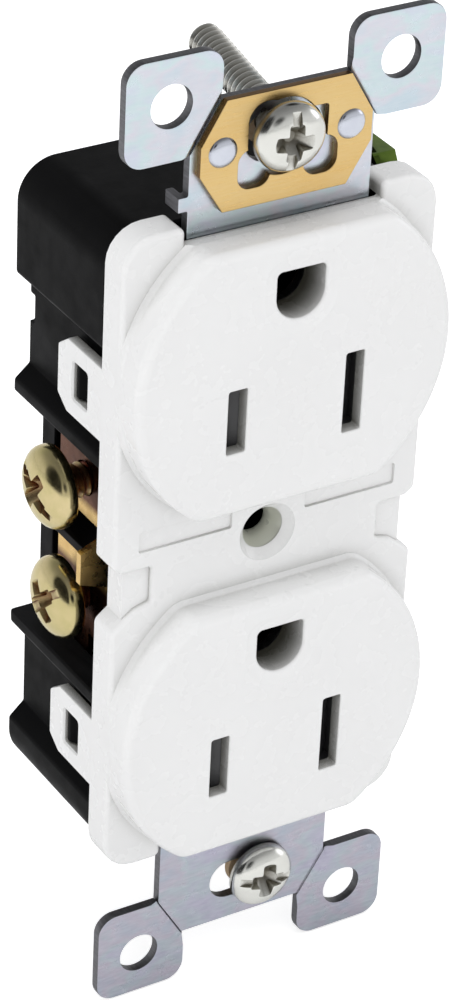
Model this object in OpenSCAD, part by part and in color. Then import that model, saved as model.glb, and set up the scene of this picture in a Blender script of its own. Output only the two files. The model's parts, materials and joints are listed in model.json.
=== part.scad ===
// Duplex wall outlet: two 15 A grounded sockets on one metal mounting strap.
// Frame: X to the right, Y towards the wall, Z up. The origin is the centre of
// the cover-plate screw hole on the strap's front plane.

/* [Sockets] */
// Distance between the centres of the two sockets
socket_pitch = 38.9; // [38.9:0.1:39.2]
// Distance between the hot and neutral slots of one socket
blade_spacing = 12.7; // [12.7:0.01:12.8]
// How far the slots sit below the socket's centre
blade_drop = 3.79; // [3.5:0.01:4]
// How far the ground hole sits above the socket's centre
ground_rise = 8.13; // [7.9:0.01:8.3]
// Height of the hot slot
hot_slot_h = 6.76; // [6.5:0.01:7.2]
// Height of the neutral slot
neutral_slot_h = 8.58; // [8.3:0.01:8.8]
// Width of both slots
slot_w = 2.02; // [1.9:0.01:2.2]
// Width of the ground hole
ground_hole_w = 5.19; // [5:0.01:5.4]

/* [Cover] */
// Overall width of the cover
cover_w = 33.8; // [33.4:0.1:34.2]
// Overall height of the cover
cover_h = 70; // [69.6:0.1:70.4]
// Radius of the round sides of each socket face
face_r = 17.1; // [16.9:0.1:17.2]
// Height of each socket face between its flats
face_h = 28; // [27.6:0.1:28.2]
// How far the socket faces stand in front of the strap
face_front = 4.75; // [4.6:0.05:5.2]
// How far the cover's rim stands in front of the strap
rim_front = 1.1; // [1.1:0.05:1.3]
// How far the cover's side walls reach behind the strap's front
rim_back = 2.2; // [2.1:0.05:2.25]

/* [Back body] */
// Overall width of the back body
body_w = 33.6; // [33.2:0.1:33.8]
// Overall height of the back body
body_h = 68; // [67.6:0.1:68.4]
// Distance from the strap's front to the back of the body
body_back = 19.2; // [19:0.1:22]
// Height at which the side reliefs are centred
relief_z = -3; // [-3.2:0.1:-2.8]

/* [Strap] */
// Width of the strap
strap_w = 19.6; // [19.2:0.1:20]
// Height of the strap between the tops of its ears
strap_h = 103.6; // [103.2:0.1:104]
// Sheet thickness of the strap
strap_t = 1.1; // [1:0.05:1.2]
// Overall width over the ears
ear_span = 33.6; // [33.2:0.1:34]
// Distance between the two box-screw slots
box_screw_pitch = 83.34; // [83.2:0.01:83.5]

/* [Screws] */
// Outside radius of the screw threads
thread_r = 1.75; // [1.7:0.01:1.78]
// Radius of the mounting screw heads
mount_head_r = 3.5; // [3.3:0.05:3.6]
// Length of the mounting screws under the head
mount_screw_l = 19.05; // [15:0.05:26]
// Radius of the terminal screw heads
terminal_head_r = 4.2; // [4:0.05:4.3]
// Height of the terminal screw heads
terminal_head_h = 2.9; // [2.5:0.1:3.1]

/* [Hidden] */
$fn = 64;
e = 0.5;                          // overlap of joined shapes and overshoot of cuts
upper_z = socket_pitch / 2;
lower_z = -socket_pitch / 2;
SOCKETS = [upper_z, lower_z];
blade_x = blade_spacing / 2;
cover_wall = 1.6;
cover_front_t = 1;                // thickness of the rim's front wall
face_t = 1.5;                     // thickness of the socket faces
cavity_w = cover_w - 2 * cover_wall;
cavity_h = cover_h - 2 * cover_wall;
shoulder_x = 10.5;                // half of the gap between the shoulders
gap_z = upper_z + face_h / 2;     // the gap between the shoulders starts here
tab_dz = 19.5;                    // latch tabs above and below relief_z
tab_h = 7.8;
tab_back = 10.6;
tab_t = 1.1;
window_h = 4;
window_y = [4.9, 7.7];
recess_x = 15.2;                  // half width across the latch recesses
terminal_x = 13.6;                // half width across the terminal recesses
body_front = rim_back + 0.15;
lip_front = strap_t + 0.1;        // the body's inner lip carries the strap
strip_t = 0.8;
screw_y = 10.6;                   // terminal screws behind the strap's front
screw_dz = 6.4;
bar_half_w = 3.2;                 // the strap passes between the blade contacts
ground_screw_at = [7.25, 30.9];   // y and z of the ground screw
ear_front = -0.36;
joggle_run = 0.72;
joggle_turn = atan2(5.9, 9.7);
ear_hole_r = 2.12;
ear_hole_at = [12.06, 47.07];
slot_r = 2.15;
slot_half = 1.6;
ground_way_r = 3.3;               // way for a ground pin behind the face
clip_t = 0.75;
rivet_at = [6.8, 41.6];
lean_x = 6.5;                     // the captive top screw leans in its slot
lean_z = 4.2;
top_seat = [-0.45, -1.25, 42.35];
top_slot_z = 41.9;                // the top slot is a little taller, for that lean
top_slot_r = 2.5;
bottom_seat = [1.75, -0.3, -box_screw_pitch / 2];
shutter_half_h = 4.85;
shutter_front = -face_front + face_t + 0.1;
shutter_back = -0.7;
guide_front = -0.65;
guide_back = -0.05;
shutter_out = 8.2;
shutter_in = 4.2;

// Plate in the XZ plane from y0 to y1, from a 2D outline drawn as (x, z)
module plate(y0, y1) {
    translate([0, y1, 0]) rotate([90, 0, 0]) linear_extrude(y1 - y0) children();
}

// Slab extruded along Z from z0 to z1, from a 2D outline drawn as (x, y)
module slab(z0, z1) {
    translate([0, 0, z0]) linear_extrude(z1 - z0) children();
}

module box(x, y, z) {
    translate([x[0], y[0], z[0]]) cube([x[1] - x[0], y[1] - y[0], z[1] - z[0]]);
}

module round_rect(w, h, r) {
    square([w - 2 * r, h], center = true);
    square([w, h - 2 * r], center = true);
    for (sx = [-1, 1], sz = [-1, 1])
        translate([sx * (w / 2 - r), sz * (h / 2 - r)]) circle(r);
}

module both_sides() {
    children();
    mirror([1, 0, 0]) children();
}

// Repeats a 2D shape in all four quarters
module four_corners() {
    for (mx = [0, 1], mz = [0, 1]) mirror([mx, 0]) mirror([0, mz]) children();
}

module top_and_bottom() {
    children();
    mirror([0, 0, 1]) children();
}

// ---------------------------------------------------------------- cover

module face_outline(r, h) {
    intersection() {
        circle(r);
        square([cover_w, h], center = true);
    }
}

module ground_outline(w) {
    circle(w / 2);
    translate([-w / 2, 0]) square([w, 2.54]);
}

module slot_at(x, h, w) {
    translate([x, -blade_drop]) square([w, h], center = true);
}

module socket_holes() {
    slot_at(-blade_x, hot_slot_h, slot_w);
    slot_at(blade_x, neutral_slot_h, slot_w);
    translate([0, ground_rise]) ground_outline(ground_hole_w);
}

// Notch in each side that gives access to the break-off link
module link_notch() {
    plate(-rim_front - e, rim_back + e)
        polygon([[12.7, -0.4], [15.9, -0.4], [17.2, 0.6], [17.2, -7], [14.4, -4.8], [12.7, -4.3]]);
}

module latch_tab(z) {
    difference() {
        translate([cover_w / 2 - tab_t, 0, 0]) rotate([90, 0, 90]) linear_extrude(tab_t)
            polygon([[rim_back - e, z - tab_h / 2], [tab_back - 1.8, z - tab_h / 2],
                [tab_back, z - tab_h / 2 + 1.3], [tab_back, z + tab_h / 2 - 1.3],
                [tab_back - 1.8, z + tab_h / 2], [rim_back - e, z + tab_h / 2]]);
        box([15, 18], window_y, [z - window_h / 2, z + window_h / 2]);
    }
}

// Tube round a ground hole, from the face back to the shutter guide
module ground_boss() {
    plate(-face_front + face_t - e, guide_front - 0.1) translate([0, ground_rise])
        ground_outline(ground_hole_w + 1.6);
}

module cover_solid() {
    plate(-rim_front, rim_back) round_rect(cover_w, cover_h, 3.5);
    for (z = SOCKETS) translate([0, 0, z])
        plate(-face_front, -rim_front + e) face_outline(face_r, face_h);
    both_sides() for (dz = [-tab_dz, tab_dz]) latch_tab(relief_z + dz);
}

module cover_hollow() {
    difference() {
        plate(-rim_front + cover_front_t, rim_back + e) round_rect(cavity_w, cavity_h, 2.2);
        both_sides() box([11.6, 16], [-2, rim_back], [-6.4, 0.9]);
        top_and_bottom() box([-shoulder_x, shoulder_x], [-2, 0], [gap_z - 1, 40]);
    }
    for (z = SOCKETS) translate([0, 0, z]) {
        difference() {
            plate(-face_front + face_t, 0) face_outline(face_r - 1.7, face_h - 3);
            ground_boss();
        }
        plate(-face_front - e, 0) socket_holes();
    }
}

module cover() {
    color("white") difference() {
        cover_solid();
        cover_hollow();
        both_sides() link_notch();
        top_and_bottom() box([-shoulder_x, shoulder_x], [-rim_front - e, rim_back + e], [gap_z, 40]);
        top_and_bottom() box([-10, 10], [-0.05, rim_back + e], [gap_z - 2, 40]);
        both_sides() box([4.1, 14.2], [-rim_front - e, -rim_front + 0.25], [1.6, 3.8]);
        rotate([90, 0, 0]) cylinder(h = 10, r = 2.2, center = true);
        translate([0, -rim_front + 0.8, 0]) rotate([90, 0, 0]) cylinder(h = 0.9, r1 = 2.2, r2 = 3.1);
    }
}

// ------------------------------------------------------------ back body

// One side relief, as an outline of x and z about relief_z
module relief_outline() {
    polygon([[18, 25.5], [16.8, 25.5], [recess_x, 24], [recess_x, 15.3], [16.8, 13.9],
        [16.8, 12.5], [terminal_x, 12.5], [terminal_x, -12.5], [16.8, -12.5], [16.8, -13.9],
        [recess_x, -15.3], [recess_x, -24], [16.8, -25.5], [18, -25.5]]);
}

module side_relief() {
    translate([0, 0, relief_z]) plate(body_front - e, body_back + e) relief_outline();
}

module latch_nub(z) {
    slab(z - 1.8, z + 1.8) polygon([[recess_x - e, window_y[0] + 0.2], [recess_x, window_y[0] + 0.2],
        [recess_x + 1.3, window_y[1] - 0.7], [recess_x + 1.3, window_y[1] - 0.2],
        [recess_x - e, window_y[1] - 0.2]]);
}

// Pocket for one contact strip: a long channel with a chamber at each socket
module strip_pocket() {
    box([12, terminal_x + 0.1], [3.4, 16.6], [-28, 21]);
    box([11.8, 15], [5.1, 15.6], [relief_z - 12.2, relief_z + 12.2]);
    for (z = SOCKETS) box([3.6, 12.5], [0, 16.6], [z - blade_drop - 5.2, z - blade_drop + 5.2]);
    for (dz = [-screw_dz, screw_dz]) translate([7.6, screw_y, relief_z + dz])
        rotate([0, 90, 0]) cylinder(h = 6, r = 2.3);
}

module ground_pocket(z) {
    box([-6.6, 6.6], [0, 2.8], [z - 4.6, z + 4.6]);
    box([-4.2, 4.2], [0, 17.6], [z - 3.4, z + 3.4]);
}

module ground_screw_pocket() {
    box([12.7, 18], [3, 11.6], [26.4, 36]);
    box([11.7, 13.2], [0, 11.6], [26.9, 36]);
    box([9.7, 13.2], [0, lip_front + e], [26.9, 36]);
    box([5.8, 12.8], [5, 9.5], [28.6, 36]);
}

module back_panel() {
    for (z = SOCKETS) translate([0, 0, z - 3])
        plate(body_back - 0.4, body_back + e) round_rect(22, 15, 1.5);
    plate(body_back - 0.6, body_back + e) translate([0, -3]) round_rect(18, 2.4, 1.1);
}

module back_body() {
    color([0.13, 0.13, 0.14]) {
        difference() {
            union() {
                plate(body_front, body_back) round_rect(body_w, body_h, 4);
                plate(lip_front, body_front + e) round_rect(cavity_w - 0.4, cavity_h - 0.4, 2);
            }
            both_sides() side_relief();
            both_sides() strip_pocket();
            for (z = SOCKETS) ground_pocket(z + ground_rise);
            ground_screw_pocket();
            rotate([-90, 0, 0]) cylinder(h = 12, r = 2.9);
            both_sides() box([11.4, 16], [0, body_front], [-6.6, 1.1]);
            both_sides() box([recess_x - 0.5, 18], [body_back - 1, body_back + e], [16.9, 19.9]);
            back_panel();
        }
        both_sides() for (dz = [-tab_dz, tab_dz]) latch_nub(relief_z + dz);
        both_sides() box([11.5, recess_x], [7.5, body_back], [relief_z - 0.5, relief_z + 0.5]);
    }
}

// --------------------------------------------------------- strap and clip

module slot_outline(r) {
    square([2 * slot_half, 2 * r], center = true);
    for (sx = [-1, 1]) translate([sx * slot_half, 0]) circle(r);
}

// Corner ear, cut off at the inside along the joggle
module ear_outline(gap) {
    difference() {
        translate([ear_span / 4 + 3.4, strap_h / 2 - 5.15]) round_rect(10, 10.3, 2);
        polygon([[5, 49.7 - gap], [5, 40], [10.9 - gap, 40]]);
        translate(ear_hole_at) circle(ear_hole_r);
    }
}

module strap_outline() {
    difference() {
        union() {
            difference() {
                square([strap_w, 93], center = true);
                four_corners() polygon([[7.241, 47.4], [11.745, 40], [11.8, 48]]);
            }
            translate([9, ground_screw_at[1] - 3.4]) square([4, 4.6]);
            translate([-10.8, 36]) square([1.5, 1.5]);
        }
        for (z = SOCKETS) translate([0, z - blade_drop]) for (sx = [-1, 1])
            translate([sx * (bar_half_w + 4), 0]) square([8, 10.8], center = true);
        for (z = SOCKETS) translate([0, z + ground_rise]) {
            circle(ground_way_r);
            for (sx = [-1, 1]) translate([sx * 5, 0]) circle(0.93);
        }
        translate([0, top_slot_z]) slot_outline(top_slot_r);
        translate([0, -box_screw_pitch / 2]) slot_outline(slot_r);
        for (sx = [-1, 1]) translate([sx * rivet_at[0], rivet_at[1]]) circle(0.93);
    }
}

// Spaces in front of and behind the slope that joins the strap to a raised corner ear
module joggle_spaces() {
    translate([5, 0, 49.7]) rotate([0, -joggle_turn, 0]) translate([0, 0, -11.5]) linear_extrude(13) {
        polygon([[-0.3, -0.6], [-0.3, 0], [0, 0], [joggle_run, ear_front], [joggle_run, -0.6]]);
        polygon([[0, strap_t], [joggle_run, strap_t + ear_front], [joggle_run + 0.04, strap_t + ear_front],
            [joggle_run + 0.04, strap_t + 0.2], [0, strap_t + 0.2]]);
    }
}

module ground_tab() {
    difference() {
        union() {
            box([13 - strap_t, 13], [0, 11], [ground_screw_at[1] - 3.4, ground_screw_at[1] + 1.2]);
            box([13 - strap_t, 13], [2.7, 11], [ground_screw_at[1] - 3.4, ground_screw_at[1] + 3]);
        }
        translate([11, ground_screw_at[0], ground_screw_at[1]]) rotate([0, 90, 0])
            cylinder(h = 3, r = thread_r + 0.05);
    }
}

module mounting_strap() {
    color([0.78, 0.8, 0.83]) {
        difference() {
            union() {
                plate(0, strap_t) strap_outline();
                translate([0, strap_t - e, 0]) rotate([-90, 0, 0]) cylinder(h = e + 1.1, r = 2.6);
                top_and_bottom() both_sides() plate(ear_front, ear_front + strap_t) ear_outline(0);
            }
            rotate([90, 0, 0]) cylinder(h = 10, r = 1.45, center = true);
            top_and_bottom() both_sides() joggle_spaces();
        }
        ground_tab();
        box([-10.8, -10], [0.2, 2.4], [36, 37.5]);
    }
}

// Opening for the leaning screw head, with a lobe on each side of its tongue
module clip_opening() {
    translate([-0.35, 41.9]) circle(3.8);
    translate([-2.15, 42.75]) round_rect(4, 6, 1.9);
    translate([1.25, 41.4]) round_rect(6, 5.6, 0.3);
    translate([-3.4, 39.3]) round_rect(3.4, 3.9, 1.3);
    translate([3.65, 39.15]) round_rect(3.6, 3.7, 1.4);
    translate([-3.1, 41]) square([2, 2], center = true);
}

module grounding_clip() {
    color([0.88, 0.72, 0.42]) plate(-clip_t, -0.01) difference() {
        polygon([[-6.6, 46.7], [6.6, 46.7], [7.2, 45.7], [9.1, 42.5], [9.1, 39.5], [6.6, 35.5],
            [-6.6, 35.5], [-9.1, 39.5], [-9.1, 42.5], [-7.2, 45.7]]);
        clip_opening();
        for (sx = [-1, 1]) translate([sx * rivet_at[0], rivet_at[1]]) circle(0.93);
    }
}

// Domed rivet head with its flat side at z = 0
module rivet_head(head_r) {
    rotate_extrude() polygon([[0, -0.01], [head_r, -0.01], [head_r - 0.08, 0.12], [head_r - 0.36, 0.28],
        [head_r - 0.8, 0.38], [0, 0.42]]);
}

// Rivet along Y: a shank from y0 to y1 with a domed head at each stated end
module rivet(y0, y1, head_r, front_head) {
    rotate([-90, 0, 0]) translate([0, 0, y0]) cylinder(h = y1 - y0, r = 0.9);
    if (front_head) translate([0, y0, 0]) rotate([90, 0, 0]) rivet_head(head_r);
    translate([0, y1, 0]) rotate([-90, 0, 0]) rivet_head(head_r);
}

module clip_rivets() {
    color([0.8, 0.82, 0.86]) for (sx = [-1, 1])
        translate([sx * rivet_at[0], 0, rivet_at[1]]) rivet(-clip_t - 0.01, strap_t + 0.01, 1.5, true);
}

// Contact for a plug's ground pin: a base plate with two sprung arms
module ground_contact() {
    plate(strap_t + 0.01, strap_t + strip_t) difference() {
        square([12.6, 8], center = true);
        circle(ground_way_r);
        for (sx = [-1, 1]) translate([sx * 5, 0]) circle(0.93);
    }
    both_sides() slab(-2.4, 2.4)
        polygon([[3.4, strap_t + 0.2], [2.45, 6.5], [2.6, 11], [3.1, 14], [3.5, 14], [3.2, 11],
            [3.1, 6.5], [4, strap_t + 0.2]]);
}

module ground_contact_upper() {
    color([0.85, 0.68, 0.38]) translate([0, 0, upper_z + ground_rise]) ground_contact();
}

module ground_contact_lower() {
    color([0.85, 0.68, 0.38]) translate([0, 0, lower_z + ground_rise]) ground_contact();
}

module ground_rivets() {
    color([0.85, 0.68, 0.38]) for (z = SOCKETS, sx = [-1, 1])
        translate([sx * 5, 0, z + ground_rise]) rivet(0.02, strap_t + strip_t + 0.01, 1.25, false);
}

// -------------------------------------------------------- contact strips

// One leaf of a folded blade contact, at offset u from the blade's centre
module blade_leaf(half_h) {
    slab(-half_h, half_h)
        polygon([[1.6, 16], [0.78, 6.8], [1.5, 3.9], [2.1, 3.9], [1.45, 6.8], [2.25, 16]]);
}

module blade_contact(half_h) {
    translate([blade_x, 0, -blade_drop]) both_sides() blade_leaf(half_h);
    translate([0, 0, -blade_drop]) box([blade_x - 2.2, terminal_x], [15.2, 16], [-half_h, half_h]);
    translate([0, 0, -blade_drop]) box([terminal_x - strip_t, terminal_x], [9, 16], [-half_h, half_h]);
}

module side_strip() {
    z_top = relief_z + screw_dz;
    z_low = relief_z - screw_dz;
    difference() {
        union() {
            for (z = [z_top, z_low])
                box([terminal_x - strip_t, terminal_x], [5.3, 15.4], [z - 4.1, z + 4.1]);
            box([terminal_x - strip_t, terminal_x], [9, 15.4], [z_top, upper_z - blade_drop]);
            box([terminal_x - strip_t, terminal_x], [9, 15.4], [lower_z - blade_drop, z_low]);
            plate(5.3, 6.1) polygon([[terminal_x - strip_t, 0.1], [16.8, -1.5], [16.8, -4.9],
                [terminal_x - strip_t, -6.3]]);
        }
        for (z = [z_top, z_low]) translate([terminal_x - 2, screw_y, z])
            rotate([0, 90, 0]) cylinder(h = 4, r = thread_r + 0.05);
    }
}

module contact_strip(half_h) {
    side_strip();
    for (z = SOCKETS) translate([0, 0, z]) blade_contact(half_h);
}

module hot_strip() {
    color([0.86, 0.68, 0.36]) mirror([1, 0, 0]) contact_strip(2.9);
}

module neutral_strip() {
    color([0.86, 0.68, 0.36]) contact_strip(3.6);
}

// --------------------------------------------------------------- screws

// Recessed cross and slot, cut into a head whose top is at z = 0
module screw_recess(r, depth) {
    translate([-r, -0.55, -depth * 0.6]) cube([2 * r, 1.1, depth]);
    translate([-r * 0.52, -0.6, -depth]) cube([r * 1.04, 1.2, depth + 1]);
    translate([-0.6, -r * 0.52, -depth]) cube([1.2, r * 1.04, depth + 1]);
}

// Screw along Z: head from 0 up to its top, shank down to -length
module pan_screw(head_r, head_h, length) {
    difference() {
        rotate_extrude() polygon([[0, 0], [head_r - 0.15, 0], [head_r, 0.2],
            [head_r, head_h * 0.28], [head_r * 0.965, head_h * 0.5], [head_r * 0.86, head_h * 0.72],
            [head_r * 0.68, head_h * 0.88], [head_r * 0.42, head_h * 0.975], [0, head_h]]);
        translate([0, 0, head_h]) screw_recess(head_r, 1.3);
    }
    translate([0, 0, -length + 0.6]) cylinder(h = length - 0.4, r = thread_r);
    translate([0, 0, -length]) cylinder(h = 0.6, r1 = thread_r - 0.5, r2 = thread_r);
}

// Terminal screw pointing inwards from the +X side, with its head's seat at x
module terminal_screw(x, z) {
    translate([x, screw_y, z]) rotate([0, 90, 0]) rotate(90)
        pan_screw(terminal_head_r, terminal_head_h, 6);
}

module hot_screw_upper() {
    color([0.85, 0.74, 0.4]) mirror([1, 0, 0]) terminal_screw(16.5, relief_z + screw_dz);
}

module hot_screw_lower() {
    color([0.85, 0.74, 0.4]) mirror([1, 0, 0]) terminal_screw(15.4, relief_z - screw_dz);
}

module neutral_screw_upper() {
    color([0.8, 0.8, 0.8]) terminal_screw(15.4, relief_z + screw_dz);
}

module neutral_screw_lower() {
    color([0.8, 0.8, 0.8]) terminal_screw(15.4, relief_z - screw_dz);
}

module ground_screw() {
    color([0.3, 0.5, 0.2]) translate([13.5, ground_screw_at[0], ground_screw_at[1]]) rotate([0, 90, 0]) {
        difference() {
            union() {
                rotate(30) cylinder(h = 2.5, r = 4, $fn = 6);
                translate([0, 0, -0.01]) cylinder(h = 0.6, r = 3.9);
            }
            translate([0, 0, 2.5]) screw_recess(3.2, 1.2);
        }
        translate([0, 0, -6.5]) cylinder(h = 7, r = thread_r);
    }
}

module mounting_screw() {
    rotate([90, 0, 0]) rotate(90) pan_screw(mount_head_r, 2.1, mount_screw_l);
}

module top_screw_frame() {
    translate(top_seat) rotate([lean_z, 0, -lean_x]) children();
}

module top_mounting_screw() {
    color([0.82, 0.82, 0.78]) top_screw_frame() mounting_screw();
}

module bottom_mounting_screw() {
    color([0.82, 0.82, 0.78]) translate(bottom_seat) mounting_screw();
}

// Fibre washer that holds a mounting screw in its slot
module screw_retainer(y, retainer_r) {
    plate(y, y + 0.8) difference() {
        circle(retainer_r);
        circle(thread_r + 0.03);
    }
}

module top_screw_retainer() {
    color([0.75, 0.62, 0.45]) top_screw_frame() screw_retainer(3.2, 2.9);
}

module bottom_screw_retainer() {
    color([0.75, 0.62, 0.45]) translate([bottom_seat[0], 0, bottom_seat[2]])
        screw_retainer(strap_t + 0.1, 2.6);
}

// -------------------------------------------------------------- shutters

module guide_rails() {
    for (dz = [-shutter_half_h - 0.9, shutter_half_h + 0.1])
        translate([-14, -blade_drop + dz]) square([28, 0.8]);
    for (sx = [-1, 1]) translate([sx * (shutter_out + 0.55), -blade_drop])
        square([0.8, 2 * shutter_half_h + 1], center = true);
}

// Flat guide behind a socket face, with rails that the shutters slide between
module shutter_guide() {
    plate(guide_front, guide_back) difference() {
        face_outline(face_r - 1.9, face_h - 3.4);
        for (sx = [-1, 1]) slot_at(sx * blade_x, 7.8, 3.2);
        translate([0, ground_rise]) circle(ground_way_r);
    }
    plate(shutter_front, guide_front + 0.1) intersection() {
        guide_rails();
        face_outline(face_r - 1.9, face_h - 3.4);
    }
}

module shutter_guide_upper() {
    color([0.55, 0.55, 0.56]) translate([0, 0, upper_z]) shutter_guide();
}

module shutter_guide_lower() {
    color([0.55, 0.55, 0.56]) translate([0, 0, lower_z]) shutter_guide();
}

// Shutter over the slot on the +X side: a blade on its ramp drives it inwards
module shutter(z) {
    slab(z - blade_drop - shutter_half_h, z - blade_drop + shutter_half_h)
        polygon([[shutter_in, shutter_front + 0.05], [shutter_in + 1, shutter_front + 0.05],
            [shutter_out, shutter_back - 0.5], [shutter_out, shutter_back], [shutter_in, shutter_back]]);
}

module hot_shutter_upper() {
    color([0.4, 0.4, 0.41]) mirror([1, 0, 0]) shutter(upper_z);
}

module neutral_shutter_upper() {
    color([0.4, 0.4, 0.41]) shutter(upper_z);
}

module hot_shutter_lower() {
    color([0.4, 0.4, 0.41]) mirror([1, 0, 0]) shutter(lower_z);
}

module neutral_shutter_lower() {
    color([0.4, 0.4, 0.41]) shutter(lower_z);
}

// Compression spring along X between the two shutters of a socket
spring_r = 0.85;
spring_wire = 0.2;
spring_half = shutter_in - 0.25;
spring_turns = 5;
spring_steps = 14;
spring_sides = 5;

function spring_point(i, k) =
    let (n = spring_turns * spring_steps, a = 360 * i / spring_steps, b = 360 * k / spring_sides,
        r = spring_r + spring_wire * cos(b))
    [-spring_half + 2 * spring_half * i / n + spring_wire * sin(b), r * cos(a), r * sin(a)];

module shutter_spring() {
    n = spring_turns * spring_steps;
    m = spring_sides;
    points = [for (i = [0 : n], k = [0 : m - 1]) spring_point(i, k)];
    sides = [for (i = [0 : n - 1], k = [0 : m - 1])
        [i * m + k, i * m + (k + 1) % m, (i + 1) * m + (k + 1) % m, (i + 1) * m + k]];
    ends = [[for (k = [m - 1 : -1 : 0]) k], [for (k = [0 : m - 1]) n * m + k]];
    polyhedron(points, concat(sides, ends));
}

module shutter_spring_at(z) {
    color([0.7, 0.7, 0.72]) translate([0, (shutter_front + shutter_back) / 2, z - blade_drop])
        shutter_spring();
}

module shutter_spring_upper() {
    shutter_spring_at(upper_z);
}

module shutter_spring_lower() {
    shutter_spring_at(lower_z);
}

cover();
back_body();
mounting_strap();
grounding_clip();
clip_rivets();
ground_contact_upper();
ground_contact_lower();
ground_rivets();
hot_strip();
neutral_strip();
hot_screw_upper();
hot_screw_lower();
neutral_screw_upper();
neutral_screw_lower();
ground_screw();
top_mounting_screw();
bottom_mounting_screw();
top_screw_retainer();
bottom_screw_retainer();
shutter_guide_upper();
shutter_guide_lower();
hot_shutter_upper();
neutral_shutter_upper();
hot_shutter_lower();
neutral_shutter_lower();
shutter_spring_upper();
shutter_spring_lower();
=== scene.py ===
import json
import math

import bmesh
import bpy
from mathutils import Matrix, Vector

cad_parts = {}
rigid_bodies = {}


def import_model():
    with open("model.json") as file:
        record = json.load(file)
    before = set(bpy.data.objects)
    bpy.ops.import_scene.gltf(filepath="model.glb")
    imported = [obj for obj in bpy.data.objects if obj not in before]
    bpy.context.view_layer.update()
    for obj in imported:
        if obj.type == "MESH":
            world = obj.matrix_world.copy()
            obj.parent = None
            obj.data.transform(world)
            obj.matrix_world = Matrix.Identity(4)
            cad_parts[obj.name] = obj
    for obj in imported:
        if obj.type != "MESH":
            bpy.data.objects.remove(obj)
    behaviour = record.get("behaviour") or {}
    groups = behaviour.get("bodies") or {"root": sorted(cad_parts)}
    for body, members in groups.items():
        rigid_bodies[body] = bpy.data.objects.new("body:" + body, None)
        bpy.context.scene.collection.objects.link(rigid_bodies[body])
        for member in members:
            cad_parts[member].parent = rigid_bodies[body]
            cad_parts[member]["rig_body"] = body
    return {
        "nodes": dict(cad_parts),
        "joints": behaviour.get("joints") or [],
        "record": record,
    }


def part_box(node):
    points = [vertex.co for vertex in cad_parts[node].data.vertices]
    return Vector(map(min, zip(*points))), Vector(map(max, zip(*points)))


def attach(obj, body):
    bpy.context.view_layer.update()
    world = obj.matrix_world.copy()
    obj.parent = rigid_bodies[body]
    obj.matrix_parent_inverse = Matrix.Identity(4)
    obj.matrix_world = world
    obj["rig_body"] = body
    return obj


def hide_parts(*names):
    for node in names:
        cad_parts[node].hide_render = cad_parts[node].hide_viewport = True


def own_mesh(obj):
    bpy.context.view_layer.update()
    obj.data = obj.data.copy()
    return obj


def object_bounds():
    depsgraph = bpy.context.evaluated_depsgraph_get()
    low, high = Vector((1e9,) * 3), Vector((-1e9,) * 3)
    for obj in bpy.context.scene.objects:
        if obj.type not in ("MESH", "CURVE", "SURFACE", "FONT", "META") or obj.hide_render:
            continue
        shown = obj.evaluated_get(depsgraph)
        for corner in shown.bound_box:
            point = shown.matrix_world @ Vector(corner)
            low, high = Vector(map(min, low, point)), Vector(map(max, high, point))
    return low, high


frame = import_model()
CAD_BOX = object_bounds()
NODES = frame["nodes"]
JOINTS = {j["name"]: j for j in frame["joints"]}
MM = 0.001

# Camera: place in metres, angles in degrees
CAMERA_AT = (-0.16962, -0.26076, 0.19329)
CAMERA_YAW = -32.43
CAMERA_PITCH = -31.49
CAMERA_ROLL = 2.91
CAMERA_LENS = 137.6

# Light: strengths, and patches that only reflections see: direction, half width in degrees, brightness
WORLD_LIGHT = 0.72
FLOOR_GLOW = 0.1
CARDS = (((-0.36, -0.9, 0.36), 12, 0.02), ((-0.95, -0.2, 0.3), 33, 0.02), ((0.4, 0.3, 0.85), 15, 0.02),
    ((0.96, -0.25, 0.18), 14, 2.2))

# Driving values of the CAD model, in millimetres
SOCKET_Z = (19.45, -19.45)
BLADE_X = 6.35
BLADE_DROP = 3.79
HOT_SLOT_H = 6.76
NEUTRAL_SLOT_H = 8.58
SLOT_W = 2.02
GROUND_RISE = 8.13
GROUND_W = 5.19
FACE_FRONT = -4.75
FACE_HALF_H = 14.0
FACE_R = 17.1
RIM_FRONT = -1.1
RIM_HALF_W = 16.9
RIM_HALF_H = 35
GAP_HALF_W = 10.5
GAP_Z = 33.2
CAVITY = (15.3, 33.4)
TAB_Z = (16.5, -22.5)
TAB_HALF_H = 3.9
TAB_BACK = 10.6
TAB_OUT = 16.87
TAB_IN = 15.8
WINDOW_Y = (4.9, 7.7)
WINDOW_HALF_H = 2
CENTRE_HOLE_R = 2.2
STRAP_T = 1.1
THREAD_R = 1.75
THREAD_PITCH = 0.794
THREAD_ROOT_R = 1.4
MOUNT_HEAD_H = 2.1
TERMINAL_HEAD_H = 2.9
TOP_SEAT = (-0.45, -1.25, 42.35)
TOP_FEED_SIGN = 1
RIVET_AT = (6.8, 41.6)
RIVET_R = 1.5


def aim(yaw, pitch, roll=0):
    """Rotation of a camera or lamp that looks along +Y at yaw 0 and pitch 0."""
    turn = Matrix.Rotation(math.radians(yaw), 4, "Z") @ Matrix.Rotation(math.radians(90 + pitch), 4, "X")
    return turn @ Matrix.Rotation(math.radians(roll), 4, "Z")


# ------------------------------------------------------------ materials


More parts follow.
